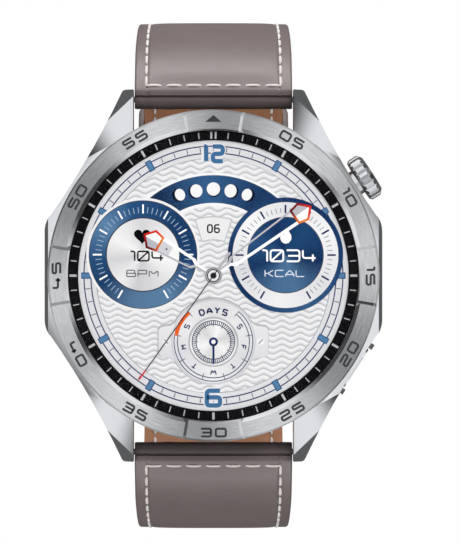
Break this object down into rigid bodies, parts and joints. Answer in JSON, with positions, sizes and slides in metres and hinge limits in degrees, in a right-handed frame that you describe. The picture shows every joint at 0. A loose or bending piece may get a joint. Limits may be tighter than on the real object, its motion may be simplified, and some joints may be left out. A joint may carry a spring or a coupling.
{
  "type": "smartwatch",
  "caption": "Round smartwatch with a steel case, ring bezel, push-and-turn crown, side button and a buckled padded leather strap.",
  "frame": {"origin": "centre of the flat sensor window on the case back, where the watch meets the wrist or a charging cradle", "axes": "+Y out of the case back towards the wrist, so the screen faces -Y; +Z to twelve o'clock; +X to three o'clock, the crown's side"},
  "size_m": [0.0462, 0.0591, 0.0712],
  "materials": {
    "case_steel": "brushed and polished steel",
    "bezel_steel": "circular brushed steel",
    "crown_steel": "satin steel",
    "buckle_steel": "brushed steel",
    "pin_steel": "turned steel",
    "cover_glass": "clear sapphire glass",
    "sensor_glass": "tinted glass",
    "black_plastic": "fine matt",
    "screen": "emissive screen",
    "back_shell": "glossy dark shell",
    "rubber_seal": "soft",
    "circuit_board": "solder resist",
    "flex_film": "polyimide film",
    "battery_foil": "foil pouch",
    "copper": "bare copper",
    "ferrite": "sintered",
    "led_lens": "clear resin",
    "leather_outer": "smooth padded leather, off-white stitching",
    "leather_lining": "fine natural leather"
  },
  "bodies": {
    "case": {"middle_case": "case_steel", "bezel_ring": "bezel_steel", "cover_glass": "cover_glass", "minute_track_ring": "black_plastic", "front_gasket": "rubber_seal", "display_panel": "screen", "display_frame": "black_plastic", "display_flex": "flex_film", "antenna_ring": "copper", "main_board": "circuit_board", "processor_shield": "pin_steel", "inner_frame": "black_plastic", "board_screws": "pin_steel", "battery": "battery_foil", "vibration_motor": "pin_steel", "speaker": "pin_steel", "microphone": "copper", "rear_cover": "back_shell", "rear_gasket": "rubber_seal", "rear_screws": "pin_steel", "sensor_window": "sensor_glass", "light_baffle": "black_plastic", "sensor_leds": "led_lens", "photodiodes": "sensor_glass", "sensor_board": "circuit_board", "charging_coil": "copper", "ferrite_sheet": "ferrite", "crown_tube": "crown_steel", "crown_switch": "pin_steel", "button_switch": "pin_steel"},
    "crown_plunger": {"crown_thrust_washer": "pin_steel"},
    "crown": {"crown_cap": "crown_steel", "crown_stem": "pin_steel", "crown_oring": "rubber_seal", "crown_clip": "pin_steel"},
    "button": {"side_button": "crown_steel", "button_stems": "pin_steel", "button_orings": "rubber_seal", "button_clips": "pin_steel"},
    "strap_short": {"spring_bar_upper": "pin_steel", "upper_strap_outer": "leather_outer", "upper_strap_lining": "leather_lining"},
    "release_upper": {"quick_release_upper": "pin_steel"},
    "strap_short_end": {"upper_end_outer": "leather_outer", "upper_end_lining": "leather_lining", "keeper_fixed": "leather_outer", "buckle_bar": "pin_steel"},
    "keeper_loop": {"keeper_free": "leather_outer"},
    "buckle": {"buckle_frame": "buckle_steel"},
    "tongue": {"buckle_tongue": "buckle_steel"},
    "strap_long": {"spring_bar_lower": "pin_steel", "lower_strap_outer": "leather_outer", "lower_strap_lining": "leather_lining"},
    "release_lower": {"quick_release_lower": "pin_steel"},
    "strap_long_end": {"lower_end_outer": "leather_outer", "lower_end_lining": "leather_lining"}
  },
  "joints": [
    {"name": "crown_push", "type": "slide", "parent": "case", "child": "crown_plunger", "axis": [-0.8387, 0, -0.5446], "range_m": [0, 0.00035], "stiffness_N_per_m": 4000, "springref_m": -0.0001},
    {"name": "crown_turn", "type": "hinge", "parent": "crown_plunger", "child": "crown", "pos_m": [0.02097, -0.0066, 0.01362], "axis": [0.8387, 0, 0.5446], "continuous": true},
    {"name": "button_push", "type": "slide", "parent": "case", "child": "button", "axis": [-0.8387, 0, 0.5446], "range_m": [0, 0.0003], "stiffness_N_per_m": 4000, "springref_m": -0.0001},
    {"name": "strap_short_pivot", "type": "hinge", "parent": "case", "child": "strap_short", "pos_m": [0, -0.0039, 0.0243], "axis": [1, 0, 0], "range_deg": [-10, 10]},
    {"name": "strap_short_flex", "type": "hinge", "parent": "strap_short", "child": "strap_short_end", "pos_m": [0, 0.03258, 0.0243], "axis": [1, 0, 0], "range_deg": [-10, 10]},
    {"name": "strap_long_pivot", "type": "hinge", "parent": "case", "child": "strap_long", "pos_m": [0, -0.0039, -0.0243], "axis": [1, 0, 0], "range_deg": [-10, 10]},
    {"name": "strap_long_flex", "type": "hinge", "parent": "strap_long", "child": "strap_long_end", "pos_m": [0, 0.03258, -0.0243], "axis": [1, 0, 0], "range_deg": [-10, 10]},
    {"name": "release_upper_slide", "type": "slide", "parent": "strap_short", "child": "release_upper", "axis": [1, 0, 0], "range_m": [0, 0.0012], "stiffness_N_per_m": 600, "springref_m": -0.0006},
    {"name": "release_lower_slide", "type": "slide", "parent": "strap_long", "child": "release_lower", "axis": [1, 0, 0], "range_m": [0, 0.0012], "stiffness_N_per_m": 600, "springref_m": -0.0006},
    {"name": "keeper_slide", "type": "hinge", "parent": "strap_short_end", "child": "keeper_loop", "pos_m": [0, 0.00602, 0], "axis": [1, 0, 0], "range_deg": [-18, 1.5]},
    {"name": "buckle_pivot", "type": "hinge", "parent": "strap_short_end", "child": "buckle", "pos_m": [0, 0.04182, -0.00376], "axis": [1, 0, 0], "range_deg": [0, 8]},
    {"name": "tongue_pivot", "type": "hinge", "parent": "buckle", "child": "tongue", "pos_m": [0, 0.04182, -0.00376], "axis": [1, 0, 0], "range_deg": [0, 6]}
  ],
  "couplings": [
    {"joint": "strap_short_flex", "follows": "strap_short_pivot", "ratio": -1},
    {"joint": "strap_long_pivot", "follows": "strap_short_pivot", "ratio": 1},
    {"joint": "strap_long_flex", "follows": "strap_short_pivot", "ratio": -1}
  ]
}
